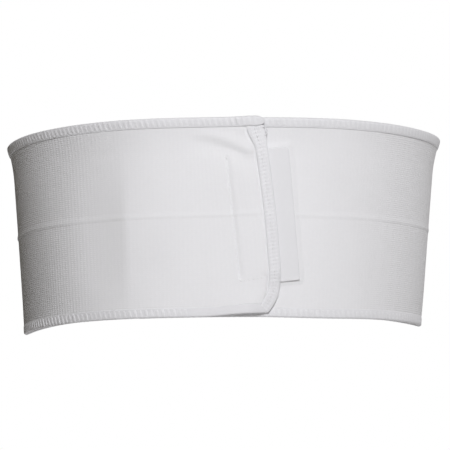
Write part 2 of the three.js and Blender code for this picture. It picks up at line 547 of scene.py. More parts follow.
@functools.cache
def sewing_tree() -> bpy.types.NodeTree:
    """Geometry tree that sets a stitch on each seat along a seam and joins them to the padding.

    Returns:
        The tree, made once.
    """
    sketch, given, out = new_tree(
        "Sewn stitches",
        "GeometryNodeTree",
        {
            "Padding": "NodeSocketGeometry",
            "Seats": "NodeSocketObject",
            "Stitch": "NodeSocketObject",
            "Size Spread": "NodeSocketFloat",
            "Seed": "NodeSocketInt",
            "Finish": "NodeSocketMaterial",
        },
        {"Edge": "NodeSocketGeometry"},
    )
    seats = sketch.add("GeometryNodeObjectInfo", {"Object": given.outputs["Seats"]})
    stitch = sketch.add(
        "GeometryNodeObjectInfo", {"Object": given.outputs["Stitch"], "As Instance": True}
    )
    least = sketch.math("SUBTRACT", 1.0, given.outputs["Size Spread"])
    most = sketch.math("ADD", 1.0, given.outputs["Size Spread"])
    size = sketch.add(
        "FunctionNodeRandomValue", {2: least, 3: most, "Seed": given.outputs["Seed"]}, data_type="FLOAT"
    )
    scale = sketch.add(
        "ShaderNodeVectorMath", {0: sketch.layer("stretch"), "Scale": size.outputs[1]}, operation="SCALE"
    )
    stitches = sketch.add(
        "GeometryNodeInstanceOnPoints",
        {
            "Points": seats.outputs["Geometry"],
            "Instance": stitch.outputs["Geometry"],
            "Rotation": sketch.layer("turn", "QUATERNION"),
            "Scale": scale.outputs[0],
        },
    )
    joined = sketch.add("GeometryNodeJoinGeometry")
    sketch.put(joined.inputs[0], given.outputs["Padding"])
    sketch.put(joined.inputs[0], stitches.outputs[0])
    sketch.put(out.inputs["Edge"], sketch.dressed(joined.outputs[0], given.outputs["Finish"]))
    return sketch.tree


@functools.cache
def weave_group() -> bpy.types.NodeTree:
    """Shader group of a ribbed weave: columns of short dashes, side by side, or rows where it is pulled.

    Returns:
        The group, made once.
    """
    sketch, given, out = new_tree(
        "Rib weave",
        "ShaderNodeTree",
        {
            "Cloth": "NodeSocketVector",
            "Column Pitch": "NodeSocketFloat",
            "Row Pitch": "NodeSocketFloat",
            "Column Share": "NodeSocketFloat",
        },
        {"Height": "NodeSocketFloat", "Gap": "NodeSocketFloat"},
    )
    along, across, _ = sketch.add("ShaderNodeSeparateXYZ", {0: given.outputs["Cloth"]}).outputs
    columns = sketch.math("DIVIDE", along, given.outputs["Column Pitch"])
    valley = sketch.math("COSINE", sketch.math("MULTIPLY", columns, 2 * math.pi))
    rib = sketch.math("MULTIPLY", sketch.math("SUBTRACT", 1.0, valley), 0.5)
    rows = sketch.math("DIVIDE", across, given.outputs["Row Pitch"])
    wave = sketch.math("COSINE", sketch.math("MULTIPLY", rows, 2 * math.pi))
    dash = sketch.math("MULTIPLY", sketch.math("ADD", wave, 1.0), 0.5)
    dashed = sketch.math("ADD", sketch.math("MULTIPLY", dash, DASH_SHARE), 1 - DASH_SHARE)
    ribbed = sketch.math("MULTIPLY", rib, dashed)
    more = sketch.math("MULTIPLY", sketch.math("SUBTRACT", ribbed, dash), given.outputs["Column Share"])
    height = sketch.math("ADD", dash, more)
    sketch.put(out.inputs["Height"], height)
    sketch.put(out.inputs["Gap"], sketch.math("SUBTRACT", 1.0, height))
    return sketch.tree


@functools.cache
def drift_group() -> bpy.types.NodeTree:
    """Shader group of the slow and the fine change of tone that washed yarn shows.

    Returns:
        The group, made once.
    """
    sketch, given, out = new_tree(
        "Tone drift",
        "ShaderNodeTree",
        {
            "Place": "NodeSocketVector",
            "Broad Scale": "NodeSocketFloat",
            "Fine Scale": "NodeSocketFloat",
            "Amount": "NodeSocketFloat",
        },
        {"Shade": "NodeSocketFloat"},
    )
    broad, fine = (
        sketch.add(
            "ShaderNodeTexNoise",
            {"Vector": given.outputs["Place"], "Scale": given.outputs[f"{size} Scale"], "Detail": detail},
        ).outputs[0]
        for size, detail in (("Broad", 2.0), ("Fine", 3.0))
    )
    slow = sketch.math("MULTIPLY", broad, BROAD_SHARE)
    both = sketch.math("ADD", slow, sketch.math("MULTIPLY", fine, 1 - BROAD_SHARE))
    sketch.put(out.inputs["Shade"], sketch.math("MULTIPLY", both, given.outputs["Amount"]))
    return sketch.tree


# Finishes
def add_drift(sketch: NodeSketch, broad: float, fine: float, amount: float) -> bpy.types.NodeSocket:
    """Adds the shared drift of tone, on the object's own coordinates.

    Args:
        sketch: The material's nodes.
        broad: Scale of the slow change.
        fine: Scale of the fine change.
        amount: How far the tone drifts.

    Returns:
        The drift's socket.
    """
    place = sketch.add("ShaderNodeTexCoord").outputs["Object"]
    inputs = {"Place": place, "Broad Scale": broad, "Fine Scale": fine, "Amount": amount}
    return sketch.add("ShaderNodeGroup", inputs, node_tree=drift_group()).outputs["Shade"]


def new_material(name: str) -> tuple[bpy.types.Material, NodeSketch, bpy.types.Node]:
    """Starts a material.

    Args:
        name: Its name.

    Returns:
        The material, the sketch to draw in and the shader.
    """
    material = bpy.data.materials.new(name)
    material.use_nodes = True
    return material, NodeSketch(material.node_tree), material.node_tree.nodes["Principled BSDF"]


@dataclass(frozen=True)
class ClothFinish:
    """White woven cloth, in ribs and short dashes, which follows the cloth coordinates, with painted shade in
    the weave's gaps that deepens with the pull layer's relief share.
    """

    name: str
    yarn: Colour
    # Colour of the painted shade in the weave's gaps, which the random drift of tone also mixes towards.
    gap: Colour
    column_pitch: float
    row_pitch: float
    # How much of that painted shade the weave's gaps take.
    gap_share: float
    roughness: float
    relief: float
    sheen: float
    broad_drift: float = 14.0
    fine_drift: float = 420.0
    drift: float = 0.35
    gap_roughness: float = 0.08
    sheen_roughness: float = 0.5
    specular: float = 0.25

    def make(self) -> bpy.types.Material:
        """Builds the material.

        Returns:
            The new material.
        """
        material, sketch, shader = new_material(self.name)
        cloth = sketch.add("ShaderNodeAttribute", attribute_name="cloth").outputs["Vector"]
        pull = sketch.add("ShaderNodeAttribute", attribute_name="pull").outputs["Vector"]
        loose, columns, _ = sketch.add("ShaderNodeSeparateXYZ", {0: pull}).outputs
        weave = sketch.add(
            "ShaderNodeGroup",
            {
                "Cloth": cloth,
                "Column Pitch": self.column_pitch,
                "Row Pitch": self.row_pitch,
                "Column Share": columns,
            },
            node_tree=weave_group(),
        )
        drift = add_drift(sketch, self.broad_drift, self.fine_drift, self.drift)
        # Painted shade: the weave's gaps are mixed towards the darker colour, scaled by the pull layer's
        # relief share, so most on the strap's left flank.
        gap = sketch.math("MULTIPLY", sketch.math("MULTIPLY", weave.outputs["Gap"], loose), self.gap_share)
        share = sketch.math("ADD", gap, drift)
        sketch.put(shader.inputs["Base Color"], sketch.tint(share, self.yarn, self.gap))
        rougher = sketch.math("MULTIPLY", weave.outputs["Gap"], self.gap_roughness)
        sketch.put(shader.inputs["Roughness"], sketch.math("ADD", rougher, self.roughness))
        height = sketch.math("MULTIPLY", weave.outputs["Height"], loose)
        bump = sketch.add("ShaderNodeBump", {"Strength": 1.0, "Distance": self.relief, "Height": height})
        sketch.put(shader.inputs["Normal"], bump.outputs[0])
        shader.inputs["Sheen Weight"].default_value = self.sheen
        shader.inputs["Sheen Roughness"].default_value = self.sheen_roughness
        shader.inputs["Specular IOR Level"].default_value = self.specular
        return material


@dataclass(frozen=True)
class ThreadFinish:
    """Soft white overlock yarn with a slanting twist, and painted shade in the twist's furrows."""

    name: str = "overlock yarn"
    yarn: Colour = (0.83, 0.83, 0.845, 1)
    # Colour of the painted shade in the twist's furrows, which the random drift of tone also mixes towards.
    hollow: Colour = (0.66, 0.66, 0.675, 1)
    twist_pitch: float = 1.1 * MM
    relief: float = 0.15 * MM
    bump: float = 0.5
    # How much painted shade the twist's furrows take.
    furrow: float = 0.3
    broad_drift: float = 60.0
    fine_drift: float = 900.0
    drift: float = 0.45
    roughness: float = 0.72
    drift_roughness: float = 0.3
    sheen: float = 0.12
    specular: float = 0.25

    def make(self) -> bpy.types.Material:
        """Builds the material.

        Returns:
            The new material.
        """
        material, sketch, shader = new_material(self.name)
        yarn = sketch.add("ShaderNodeAttribute", attribute_name="yarn").outputs["Vector"]
        length, turn, _ = sketch.add("ShaderNodeSeparateXYZ", {0: yarn}).outputs
        twist = sketch.math("ADD", sketch.math("DIVIDE", length, self.twist_pitch), turn)
        ply = sketch.math("ABSOLUTE", sketch.math("SINE", sketch.math("MULTIPLY", twist, math.pi)))
        drift = add_drift(sketch, self.broad_drift, self.fine_drift, self.drift)
        # Painted shade: the twist's furrows are mixed towards the darker colour.
        furrow = sketch.math("MULTIPLY", sketch.math("SUBTRACT", 1.0, ply), self.furrow)
        share = sketch.math("ADD", furrow, drift)
        sketch.put(shader.inputs["Base Color"], sketch.tint(share, self.yarn, self.hollow))
        rougher = sketch.math("MULTIPLY", drift, self.drift_roughness)
        sketch.put(shader.inputs["Roughness"], sketch.math("ADD", rougher, self.roughness))
        bump = sketch.add("ShaderNodeBump", {"Strength": self.bump, "Distance": self.relief, "Height": ply})
        sketch.put(shader.inputs["Normal"], bump.outputs[0])
        shader.inputs["Sheen Weight"].default_value = self.sheen
        shader.inputs["Specular IOR Level"].default_value = self.specular
        return material


ELASTIC = ClothFinish(
    name="ribbed elastic",
    yarn=(0.82, 0.82, 0.83, 1),
    # The darker colour is painted shade for the weave's gaps.
    gap=(0.6, 0.6, 0.61, 1),
    column_pitch=RIB_PITCH,
    row_pitch=1.56 * MM,
    gap_share=0.25,
    roughness=0.84,
    relief=0.24 * MM,
    sheen=0.05,
)
HOOK_TAPE = ClothFinish(
    name="woven hook tape",
    yarn=(0.772, 0.772, 0.784, 1),
    # The darker colour is painted shade for the tape's weave gaps.
    gap=(0.672, 0.672, 0.684, 1),
    column_pitch=0.9 * MM,
    row_pitch=0.6 * MM,
    gap_share=0.25,
    roughness=0.6,
    relief=0.06 * MM,
    sheen=0.04,
)


# The loop, and the strap's way round it
@dataclass(frozen=True)
class WornLoop:
    """The closed loop that the strap is worn in: round in front, flatter behind, wider at the top."""

    # Seen from above
    half_width: float = 165.4 * MM
    front_depth: float = 149 * MM
    back_depth: float = 83 * MM
    squareness: float = 2.29
    taper: float = 0.47
    # Its height, and how its upper rim stands out
    half_height: float = 75 * MM
    flare: float = 3.4 * MM
    flare_from: float = 47 * MM
    # How it sags at the flanks, rises behind, slopes and hangs
    flank_sag: float = 7 * MM
    flank_sharpness: float = 3.4
    left_drop: float = 2.3 * MM
    left_sharpness: float = 14
    back_rise: float = 6.5 * MM
    back_sharpness: float = 1.3
    askew: float = 0.0188
    hang: float = 1.3 * MM
    hang_at: float = 80 * MM
    hang_run: float = 45 * MM
    divisions: int = 2880

    @property
    def widest(self) -> float:
        """How far behind the origin the loop is widest."""
        return (self.front_depth - self.back_depth) / 2

    def section(self, turn: Array) -> tuple[Array, Array]:
        """Points of the loop seen from above.

        Args:
            turn: Turns from the middle of the front.

        Returns:
            Their places to the right and to the back.
        """
        power = 2 / self.squareness
        x = self.half_width * np.sign(np.sin(turn)) * np.abs(np.sin(turn)) ** power
        depth = np.where(np.cos(turn) > 0, self.front_depth, self.back_depth)
        y = self.widest - depth * np.sign(np.cos(turn)) * np.abs(np.cos(turn)) ** power
        return x, y

    @functools.cached_property
    def measure(self) -> tuple[Array, Array]:
        """Turns round the loop, and the length along it up to each.

        Returns:
            Two rows of the same length.
        """
        turns = np.linspace(0, 2 * math.pi, self.divisions + 1)
        x, y = self.section(turns)
        return turns, run_lengths(np.stack([x, y], -1))

    @property
    def girth(self) -> float:
        """Length once round the loop."""
        return float(self.measure[1][-1])

    def place(self, from_front: Array, across: Array, out: Array) -> Array:
        """Puts flat points round the loop.

        Args:
            from_front: Length round from the middle of the front, positive towards the flap's end.
            across: Height above the middle line.
            out: Distance outside the loop.

        Returns:
            One point in space for each.
        """
        turns, lengths = self.measure
        x, y = self.section(np.interp(np.mod(from_front, self.girth), lengths, turns))
        power = self.squareness - 1
        lean_x = np.sign(x) * np.abs(x / self.half_width) ** power / self.half_width
        behind = y - self.widest
        depth = np.where(behind > 0, self.back_depth, self.front_depth)
        lean_y = np.sign(behind) * np.abs(behind / depth) ** power / depth
        steep = np.hypot(lean_x, lean_y)
        to_rim = np.maximum(0, across - self.flare_from) / (self.half_height - self.flare_from)
        stand = (out + self.flare * to_rim**2) / steep
        sag = self.flank_sag * np.abs(x / self.half_width) ** self.flank_sharpness
        drop = self.left_drop * np.maximum(0, -x / self.half_width) ** self.left_sharpness
        rise = self.back_rise * np.maximum(0, behind / self.back_depth) ** self.back_sharpness
        below = np.clip(-across / self.half_height, 0, None)
        round_front = np.mod(from_front + self.girth / 2, self.girth) - self.girth / 2
        hang = self.hang * below * bell(round_front - self.hang_at, self.hang_run)
        growth = 1 + self.taper * across
        height = across - sag - drop - hang + rise + self.askew * x
        return np.stack([x * growth + lean_x * stand, y * growth + lean_y * stand, height], -1)


@dataclass(frozen=True)
class StrapPath:
    """How the strip runs round the loop, climbs over its own inner end and ends in a slanting flap."""

    loop: WornLoop = field(default_factory=WornLoop)
    # The strip's wall, and where its ends lie from the middle of the front
    wall: float = 1.8 * MM
    inner_end: float = -67.8 * MM
    flap_end: float = 39 * MM
    # The climb over the inner end
    flap_step: float = 4.5 * MM
    step_length: float = 40 * MM
    step_peak: float = 0.8
    step_clear: float = 2 * MM
    soft_from: float = 75 * MM
    soft_to: float = 15 * MM
    climbs: tuple[ClimbPoint, ...] = (
        ClimbPoint(-80, 0.2),
        ClimbPoint(-60, 0.4),
        ClimbPoint(-45, 0.75),
        ClimbPoint(-22, 0.9),
        ClimbPoint(0, 1.0),
        ClimbPoint(20, 0.65),
        ClimbPoint(35, 0.4),
        ClimbPoint(52, 0.15),
        ClimbPoint(80, 0.1),
    )
    # The flap's curled lower rim, and its corners, which settle on the layer below
    curl: float = 1.8 * MM
    curl_at: float = 24 * MM
    curl_run: float = 20 * MM
    curl_from: float = 50 * MM
    settle: float = 2.4 * MM
    settle_run: float = 18 * MM
    settle_band: Span = (42 * MM, 58 * MM)
    top_settle: float = 1.9 * MM
    top_settle_band: Span = (54 * MM, 68 * MM)
    # How much higher the flap's end lies, and its slanting outline
    flap_lift: float = 1.65 * MM
    flap_lift_slope: float = 0.0193
    flap_lift_run: float = 58 * MM
    slant_from: float = 75 * MM
    slant_to: float = 20 * MM
    slant_rounds: int = 12
    outline: tuple[FlapPoint, ...] = (
        FlapPoint(-80, 29.5),
        FlapPoint(-76, 34.8),
        FlapPoint(-72, 37.9),
        FlapPoint(-64, 42.2),
        FlapPoint(-52, 44.3),
        FlapPoint(-26, 42.5),
        FlapPoint(47, 32.9),
        FlapPoint(80, 27.6),
    )
    # The lines of the sewn edges
    edge_overrun: float = 1 * MM
    edge_crest: float = 1.4 * MM
    edge_depth: float = 8 * MM
    end_edge_top: float = 69.4 * MM
    end_edge_spread: float = 0.5
    end_edge_spread_run: float = 20 * MM
    edge_samples: int = 3000

    @property
    def length(self) -> float:
        """Length of the strap from end to end, as worn."""
        return self.loop.girth + self.flap_end - self.inner_end

    def from_front(self, along: Array, across: Array) -> Array:
        """Length round from the middle of the front, with the flap end's slant.

        Args:
            along: Places along the strap.
            across: Heights above its middle line.

        Returns:
            The length for each place.
        """
        table = np.array(self.outline) * MM
        slant = smoothstep(along, self.length - self.slant_from, self.length - self.slant_to)
        reach = smooth_table(across, table[:, 0], table[:, 1])
        return self.inner_end + along + slant * (reach - self.flap_end)

    def along(self, from_front: Array, across: Array) -> Array:
        """Place along the flap of a point given from the middle of the front.

        Args:
            from_front: Lengths round from the middle of the front, on the flap.
            across: Heights above the middle line.

        Returns:
            The place along the strap for each.
        """
        found = self.loop.girth + from_front - self.inner_end
        for _ in range(self.slant_rounds):
            found = found + self.loop.girth + from_front - self.from_front(found, across)
        return found

    def climb(self, along: Array, across: Array) -> Array:
        """Share of the climb on to the inner end: a step in the middle, and a long rise at the rims.

        Args:
            along: Places along the strap.
            across: Heights above its middle line.

        Returns:
            The share at each place.
        """
        done = np.clip((along - self.loop.girth + self.step_clear) / self.step_length + 1, 0, 1)
        rising = done**2 / self.step_peak
        rounding = 1 - (1 - done) ** 2 / (1 - self.step_peak)
        step = np.where(done < self.step_peak, rising, rounding)
        soft = smoothstep(along, self.loop.girth - self.soft_from, self.loop.girth + self.soft_to)
        table = np.array(self.climbs)
        sharp = smooth_table(across, table[:, 0] * MM, table[:, 1])
        return soft + sharp * (step - soft)

    def stand_off(self, along: Array, across: Array) -> Array:
        """How far the strap stands off the loop: over its inner end, at the curled rim and at the corners.

        Args:
            along: Places along the strap.
            across: Heights above its middle line.

        Returns:
            The distance at each place.
        """
        curled = self.curl * bell(self.length - along - self.curl_at, self.curl_run)
        curled = curled * smoothstep(-across, self.curl_from, self.loop.half_height)
        settled = self.settle * smoothstep(-across, *self.settle_band)
        settled = settled + self.top_settle * smoothstep(across, *self.top_settle_band)
        settled = settled * smoothstep(along, self.length - self.settle_run, self.length)
        return self.climb(along, across) * self.flap_step + curled - settled

    def place(self, along: Array, across: Array, through: Array | float) -> Array:
        """Puts flat points of the strap in space.

        Args:
            along: Places along the strap.
            across: Heights above its middle line.
            through: Distances outwards from its inner face.

        Returns:
            One point in space for each.
        """
        points = self.loop.place(
            self.from_front(along, across), across, through + self.stand_off(along, across)
        )
        lifted = smoothstep(along, self.length - self.flap_lift_run, self.length)
        points[..., 2] += lifted * (self.flap_lift - self.flap_lift_slope * across)
        return points

    def end_widening(self, across: Array) -> Array:
        """How many times deeper the end edge is at these heights: it spreads towards its top."""
        spread = smoothstep(across, self.end_edge_top - self.end_edge_spread_run, self.end_edge_top)
        return 1 + self.end_edge_spread * spread

    def edge_line(self, edge: Edge, pitch: float) -> tuple[Array, Array, Array]:
        """The line of one sewn edge, in even steps, with the cloth's outer face on its left hand.

        Args:
            edge: Which edge.
            pitch: Step between two places, about.

        Returns:
            The edge's heights, points on it, and points a hem's depth inside it.
        """
        rim = self.loop.half_height
        lines = {
            Edge.TOP: ((-self.edge_crest, rim), (self.length + self.edge_overrun, rim), (0, -1)),
            Edge.BOTTOM: ((self.length - self.edge_crest, -rim), (-self.edge_crest, -rim), (0, 1)),
            Edge.FLAP_END: ((self.length, self.end_edge_top), (self.length, -rim - self.edge_crest), (-1, 0)),
            Edge.INNER_END: ((0, -self.end_edge_top), (0, self.end_edge_top), (1, 0)),
        }
        start, end, inwards = (np.array(part, dtype=float) for part in lines[edge])
        fine = start + np.linspace(0, 1, self.edge_samples)[:, None] * (end - start)
        lengths = run_lengths(self.place(fine[:, 0], fine[:, 1], 0))
        even = np.linspace(0, lengths[-1], round(float(lengths[-1]) / pitch) + 1)
        flat = np.stack([np.interp(even, lengths, column) for column in fine.T], -1)
        inside = flat + inwards * self.edge_depth
        return flat[:, 1], self.place(flat[:, 0], flat[:, 1], 0), self.place(inside[:, 0], inside[:, 1], 0)


# Stitches
def edge_axes(rim: Array, inside: Array) -> Axes:
    """Axes of a sewn edge at each of its places.

    Args:
        rim: Points along the edge.
        inside: Points of the cloth inside each of them.

    Returns:
        Unit vectors along the edge, into the loop, and out over the edge.
    """
    run = unit(np.gradient(rim, axis=0))
    over = rim - inside
    over = unit(over - run * np.sum(over * run, axis=-1, keepdims=True))
    return run, np.cross(over, run), over


def seat_object(name: str, places: Array, axes: Axes, deeper: Array | float = 1.0) -> bpy.types.Object:
    """Makes the seats that stitches are set on.

    Args:
        name: Name of the helper object.
        places: One point for each stitch.
        axes: Three unit vectors for each stitch.
        deeper: How many times deeper each stitch reaches into the cloth.

    Returns:
        A mesh of loose points, each with its turn and its stretch.
    """
    mesh = bpy.data.meshes.new(name)
    mesh.from_pydata(places.tolist(), [], [])
    turns = [Matrix(rows).transposed().to_quaternion() for rows in np.stack(axes, 1).tolist()]
    attribute = mesh.attributes.new("turn", "QUATERNION", "POINT")
    attribute.data.foreach_set("value", np.array(turns, dtype=np.float32).ravel())
    stretch = np.ones((len(places), 3), dtype=np.float32)
    stretch[:, 2] = deeper
    attribute = mesh.attributes.new("stretch", "FLOAT_VECTOR", "POINT")
    attribute.data.foreach_set("vector", stretch.ravel())
    seats = bpy.data.objects.new(name, mesh)
    bpy.context.scene.collection.objects.link(seats)
    return seats


def tube_rings(middle: Array, broad: Array, thick: Array, lengths: Array, sides: int) -> tuple[Array, Array]:
    """Rings of points round a strand of yarn.

    Args:
        middle: The strand's middle line.
        broad: Its half width at each point, as a vector.
        thick: Its half thickness at each point, as a vector.
        lengths: Lengths along it.
        sides: Points in each ring.

    Returns:
        The rings, and for each of their points the length along the yarn and the turn round it.
    """
    turn = np.arange(sides) / sides
    angle = (2 * math.pi * turn)[None, :, None]
    rings = middle[:, None] + np.cos(angle) * broad[:, None] + np.sin(angle) * thick[:, None]
    yarn = np.zeros_like(rings)
    yarn[..., 0] = lengths[:, None]
    yarn[..., 1] = turn
    return rings, yarn


def yarn_tube(path: Sequence[YarnPoint], flat: Axis, sides: int) -> tuple[Array, Array]:
    """One strand of flattened yarn, on an edge's own axes.

    Args:
        path: The points that it follows.
        flat: The direction in which the yarn is broad.
        sides: Points round the yarn.

    Returns:
        Rings of points, and for each point the length along the yarn and the turn round it.
    """
    table = np.array(path) * MM
    middle = np.stack([table[:, 0], -table[:, 1], table[:, 2]], -1)
    tangent = unit(np.gradient(middle, axis=0))
    broad = unit(np.array(flat) - tangent * (tangent @ np.array(flat))[:, None])
    thick = np.cross(tangent, broad)
    lengths = run_lengths(middle)
    return tube_rings(middle, broad * table[:, 3:4], thick * table[:, 4:5], lengths, sides)


def stitch_object(name: str, strands: Sequence[Strand], sides: int = 6) -> bpy.types.Object:
    """Makes one stitch of one or more strands.

    Args:
        name: Name of the helper object.
        strands: The path and the broad direction of each strand.
        sides: Points round each strand.

    Returns:
        The stitch, on an edge's own axes.
    """
    points: list[Array] = []
    yarns: list[Array] = []
    faces: Faces = []
    for path, flat in strands:
        rings, yarn = yarn_tube(path, flat, sides)
        faces += tube_faces(len(path), sides, sum(map(len, points)))
        points.append(rings.reshape(-1, 3))
        yarns.append(yarn.reshape(-1, 3))
    return make_object(name, np.concatenate(points), faces, {"yarn": np.concatenate(yarns)})


def sew(
    made: bpy.types.Object,
    seats: bpy.types.Object,
    strands: Sequence[Strand],
    size_spread: float,
    seed: int,
    finish: bpy.types.Material,
) -> None:
    """Sews a stitch on each seat, joins them to an object and takes the helpers away.

    Args:
        made: The object to sew on.
        seats: The seats.
        strands: The path and the broad direction of each strand of a stitch.
        size_spread: How far the stitches' sizes differ.
        seed: Seed of the differences.
        finish: The yarn's material.
    """
    stitch = stitch_object(f"{made.name}_stitch", strands)
    grow(
        made,
        sewing_tree(),
        {"Seats": seats, "Stitch": stitch, "Size Spread": size_spread, "Seed": seed, "Finish": finish},
    )
    remove_objects(seats, stitch)


# The pieces
class Piece(ABC):
    """A piece of the belt, which rides on the belt's one body."""

    slot: ClassVar[Slot]

    @property
    def stands_for(self) -> tuple[str, ...]:
        """CAD nodes that the piece replaces: none, unless it says so."""
        return ()

    @abstractmethod
    def build(self, finish: bpy.types.Material) -> bpy.types.Object:
        """Makes the piece's mesh in its finish.

        Args:
            finish: Its material.

        Returns:
            The new object.
        """

    def dress(self, finish: bpy.types.Material) -> bpy.types.Object:
        """Builds the piece, rides it on the belt and hides the nodes that it replaces.

        Args:
            finish: Its material.

        Returns:
            The finished piece.
        """
        made = self.build(finish)
        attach(made, BODY)
        if self.stands_for:
            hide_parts(*self.stands_for)
        return made


@dataclass
class HookTab(Piece):
    """The stiff tab of hook tape under the flap's end."""

    slot: ClassVar[Slot] = Slot.TAPE
    path: StrapPath
    # Its place and its outline
    level: float = 0.4 * MM
    half_height: float = 51.4 * MM
    thickness: float = 1.35 * MM
    clearance: float = 0.3 * MM
    start: float = 5.1 * MM
    end: float = 54 * MM
    slant: float = 0.115
    # Its corners and its soft edges
    top_corner: float = 4.5 * MM
    bottom_corner: float = 1.5 * MM
    top_rounding: float = 1.1 * MM
    rounding: float = 0.25 * MM
    columns: int = 36
    rows: int = 64

    @property
    def stands_for(self) -> tuple[str, ...]:
        """The tab's CAD node."""
        return ("hook_tab",)

    def level_at(self, from_front: Array) -> Array:
        """Height of the tab's middle line, which leans as its sides do, at lengths round from the front."""
        return self.level + self.slant * (from_front - (self.start + self.end) / 2)

    def beside(self, from_front: Array, across: Array) -> Array:
        """How far a point of the flap lies past the tab's upright sewn side.

        Args:
            from_front: Lengths round from the middle of the front.
            across: Heights above the middle line.

        Returns:
            The distance at each place.
        """
        return from_front + self.slant * (across - self.level_at(from_front)) - self.start

    def outside(self, from_front: Array, across: Array) -> Array:
        """How far a point of the flap lies outside the tab's sewn sides, negative inside them.

        Args:
            from_front: Lengths round from the middle of the front.
            across: Heights above the middle line.

        Returns:
            The distance at each place.
        """
        beside = self.bottom_corner - self.beside(from_front, across)
        beyond = np.abs(across - self.level_at(from_front)) - self.half_height + self.bottom_corner
        corner = np.hypot(np.maximum(beside, 0), np.maximum(beyond, 0))
        return corner + np.minimum(np.maximum(beside, beyond), 0) - self.bottom_corner

    def apart(self, from_front: Array, across: Array) -> Array:
        """How far a point of the layer below lies outside the whole tab, negative under it.

        Args:
            from_front: Lengths round from the middle of the front.
            across: Heights above the middle line.

        Returns:
            The distance at each place.
        """
        sewn = self.outside(from_front, across)
        free = self.beside(from_front, across) - (self.end - self.start)
        return np.hypot(np.maximum(sewn, 0), np.maximum(free, 0)) + np.minimum(np.maximum(sewn, free), 0)

    @staticmethod
    def spread(count: int) -> Array:
        """Shares from 0 to 1 that crowd together towards both ends."""
        return (1 - np.cos(np.linspace(0, math.pi, count))) / 2

    @staticmethod
    def corner_cut(radius: float, to_end: Array) -> Array:
        """How far a rounded corner cuts into the side that leads to it, this far from its end."""
        short = np.maximum(0, radius - to_end)
        return radius - np.sqrt(radius**2 - short**2)

    def build(self, finish: bpy.types.Material) -> bpy.types.Object:
        """Makes the tab with rounded corners and soft edges.

        Args:
            finish: Its material.

        Returns:
            The tab.
        """
        side, row = np.meshgrid(self.spread(self.columns), self.spread(self.rows), indexing="ij")
        from_start = side * (self.end - self.start)
        to_end = self.end - self.start - from_start
        top = self.half_height - self.corner_cut(self.top_corner, to_end)
        bottom = self.corner_cut(self.bottom_corner, to_end) - self.half_height
        up = bottom + row * (top - bottom)
        to_side = np.minimum(np.minimum(from_start, to_end), up - bottom) / self.rounding
        to_rim = np.minimum(to_side, (top - up) / self.top_rounding)
        soft = np.sqrt(1 - (1 - np.clip(to_rim, 0, 1)) ** 2)
        middle = self.path.flap_step - self.clearance - self.thickness / 2
        from_front = self.start + from_start - self.slant * up
        across = self.level_at(from_front) + up
        faces: Faces = []
        sheets: list[Array] = []
        for face in (1, -1):
            through = middle + face * soft * self.thickness / 2
            faces += grid_faces(self.columns, self.rows, len(sheets) * side.size)
            sheets.append(self.path.loop.place(from_front, across, through).reshape(-1, 3))
        cloth = np.stack([from_start, up, np.zeros_like(up)], -1).reshape(-1, 3)
        layers = {"cloth": np.tile(cloth, (2, 1)), "pull": np.ones((2 * side.size, 3))}
        tab = make_object("hook_tab_tape", np.concatenate(sheets), faces, layers)
        self.close_rim(tab)
        tab.data.materials.append(finish)
        return tab

    @staticmethod
    def close_rim(tab: bpy.types.Object) -> None:
        """Merges the two faces where they meet along the rim, and turns them outwards.

        Args:
            tab: The tab.
        """
        work = bmesh.new()
        work.from_mesh(tab.data)
        bmesh.ops.remove_doubles(work, verts=work.verts, dist=MERGE)
        bmesh.ops.dissolve_degenerate(work, edges=work.edges, dist=MERGE)
        bmesh.ops.recalc_face_normals(work, faces=work.faces)
        work.to_mesh(tab.data)
        work.free()


